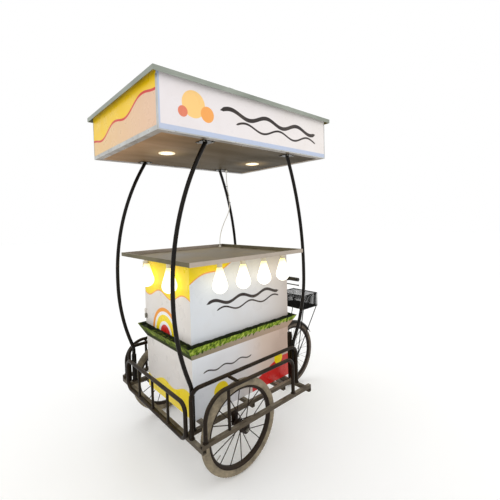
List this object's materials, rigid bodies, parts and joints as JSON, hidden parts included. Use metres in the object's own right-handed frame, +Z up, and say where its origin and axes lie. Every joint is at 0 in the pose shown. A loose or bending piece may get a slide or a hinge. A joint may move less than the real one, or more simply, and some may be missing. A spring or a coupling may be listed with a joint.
{
  "type": "bicycle food cart",
  "caption": "Street food cart: a cabinet with a counter tray and hanging lamps under a canopy on bowed posts, on cart wheels, led by the front half of a bicycle with basket and steering.",
  "frame": {"origin": "on the floor, under the middle of the overall length and width", "axes": "+X the way the bicycle faces, +Y to its left (the vendor side, with the doors), +Z up"},
  "size_m": [1.903, 1.155, 2.382],
  "materials": {
    "frame_steel": "worn dark gloss paint, dusty",
    "rail_steel": "worn dark paint, dusty olive grey",
    "post_steel": "black gloss paint",
    "hardware": "dull zinc",
    "box_panel": "printed white panel, slight gloss",
    "door_panel": "white panel, slight gloss",
    "skirt_print": "printed grass green",
    "tray_steel": "brushed stainless sheet",
    "fascia_panel": "printed pale panel, slight gloss",
    "roof_sheet": "grey-green mill finish",
    "ceiling_sheet": "brownish reflective sheet",
    "holder_plastic": "off-white moulded",
    "bulb_glass": "glowing warm white diffuser",
    "lens": "glowing warm white diffuser",
    "bezel": "satin white ring",
    "cable_sheath": "white sheath",
    "bike_paint": "black enamel, worn",
    "bike_bright": "dull chrome",
    "grip_rubber": "matte black",
    "basket_wire": "black coated wire",
    "cart_tyre": "dusty tan-grey rubber",
    "bike_tyre": "dark rubber",
    "rim_steel": "dark painted rim, brown dust",
    "spoke_steel": "dull spokes"
  },
  "bodies": {
    "chassis": {"long_rails": "rail_steel", "cross_rails": "rail_steel", "axle_brackets": "frame_steel", "front_uprights": "frame_steel", "post_sockets": "post_steel", "post_tail_right": "post_steel", "post_tail_left": "post_steel", "post_nose_right": "post_steel", "post_nose_left": "post_steel", "post_flanges": "post_steel", "flange_bolts": "hardware", "side_guards": "frame_steel", "wheel_guards": "frame_steel", "guard_braces": "frame_steel", "bumper_loop": "frame_steel", "bumper_uprights": "frame_steel", "lower_cabinet": "box_panel", "skirt": "skirt_print", "upper_cabinet": "box_panel", "hinge_leaves": "hardware", "hinge_pins": "hardware", "counter_tray": "tray_steel", "lamp_holders": "holder_plastic", "lamp_bulbs": "bulb_glass", "canopy_fascia": "fascia_panel", "canopy_roof": "roof_sheet", "canopy_ceiling": "ceiling_sheet", "downlight_bezels": "bezel", "downlight_lenses": "lens", "cable_glands": "cable_sheath", "lamp_cable": "cable_sheath", "bike_frame": "bike_paint", "headset_cups": "bike_bright", "cart_axles": "hardware"},
    "steering": {"fork": "bike_paint", "stem": "bike_bright", "handlebar": "bike_bright", "grips": "grip_rubber", "lever_clamps": "bike_bright", "mudguard": "bike_paint", "basket": "basket_wire", "basket_stays": "basket_wire", "front_axle": "hardware"},
    "front_wheel": {"front_tyre": "bike_tyre", "front_rim": "rim_steel", "front_spokes": "spoke_steel", "front_hub": "rim_steel"},
    "right_wheel": {"right_tyre": "cart_tyre", "right_rim_spokes": "rim_steel", "right_hub": "rim_steel"},
    "left_wheel": {"left_tyre": "cart_tyre", "left_rim_spokes": "rim_steel", "left_hub": "rim_steel"},
    "tail_door": {"door_tail": "door_panel", "door_tail_knob": "hardware"},
    "nose_door": {"door_nose": "door_panel", "door_nose_knob": "hardware"},
    "right_lever": {"brake_lever_right": "bike_bright"},
    "left_lever": {"brake_lever_left": "bike_bright"}
  },
  "joints": [
    {"name": "steering", "type": "hinge", "parent": "chassis", "child": "steering", "pos_m": [0.60029, 0, 0.298], "axis": [-0.342, 0, 0.9397], "range_deg": [-20, 20]},
    {"name": "front_wheel_spin", "type": "hinge", "parent": "steering", "child": "front_wheel", "pos_m": [0.6535, 0, 0.298], "axis": [0, 1, 0], "continuous": true},
    {"name": "right_wheel_spin", "type": "hinge", "parent": "chassis", "child": "right_wheel", "pos_m": [-0.4165, -0.4925, 0.298], "axis": [0, 1, 0], "continuous": true},
    {"name": "left_wheel_spin", "type": "hinge", "parent": "chassis", "child": "left_wheel", "pos_m": [-0.4165, 0.4925, 0.298], "axis": [0, 1, 0], "continuous": true},
    {"name": "tail_door_swing", "type": "hinge", "parent": "chassis", "child": "tail_door", "pos_m": [-0.6575, 0.3265, 1.08], "axis": [0, 0, 1], "range_deg": [0, 90]},
    {"name": "nose_door_swing", "type": "hinge", "parent": "chassis", "child": "nose_door", "pos_m": [0.2545, 0.3265, 1.08], "axis": [0, 0, -1], "range_deg": [0, 90]},
    {"name": "right_lever_pull", "type": "hinge", "parent": "steering", "child": "right_lever", "pos_m": [0.41587, -0.085, 1.03859], "axis": [-0.9397, 0, -0.342], "range_deg": [0, 8], "stiffness_Nm_per_rad": 2, "springref_deg": -5.73},
    {"name": "left_lever_pull", "type": "hinge", "parent": "steering", "child": "left_lever", "pos_m": [0.41587, 0.085, 1.03859], "axis": [0.9397, 0, 0.342], "range_deg": [0, 8], "stiffness_Nm_per_rad": 2, "springref_deg": -5.73}
  ]
}
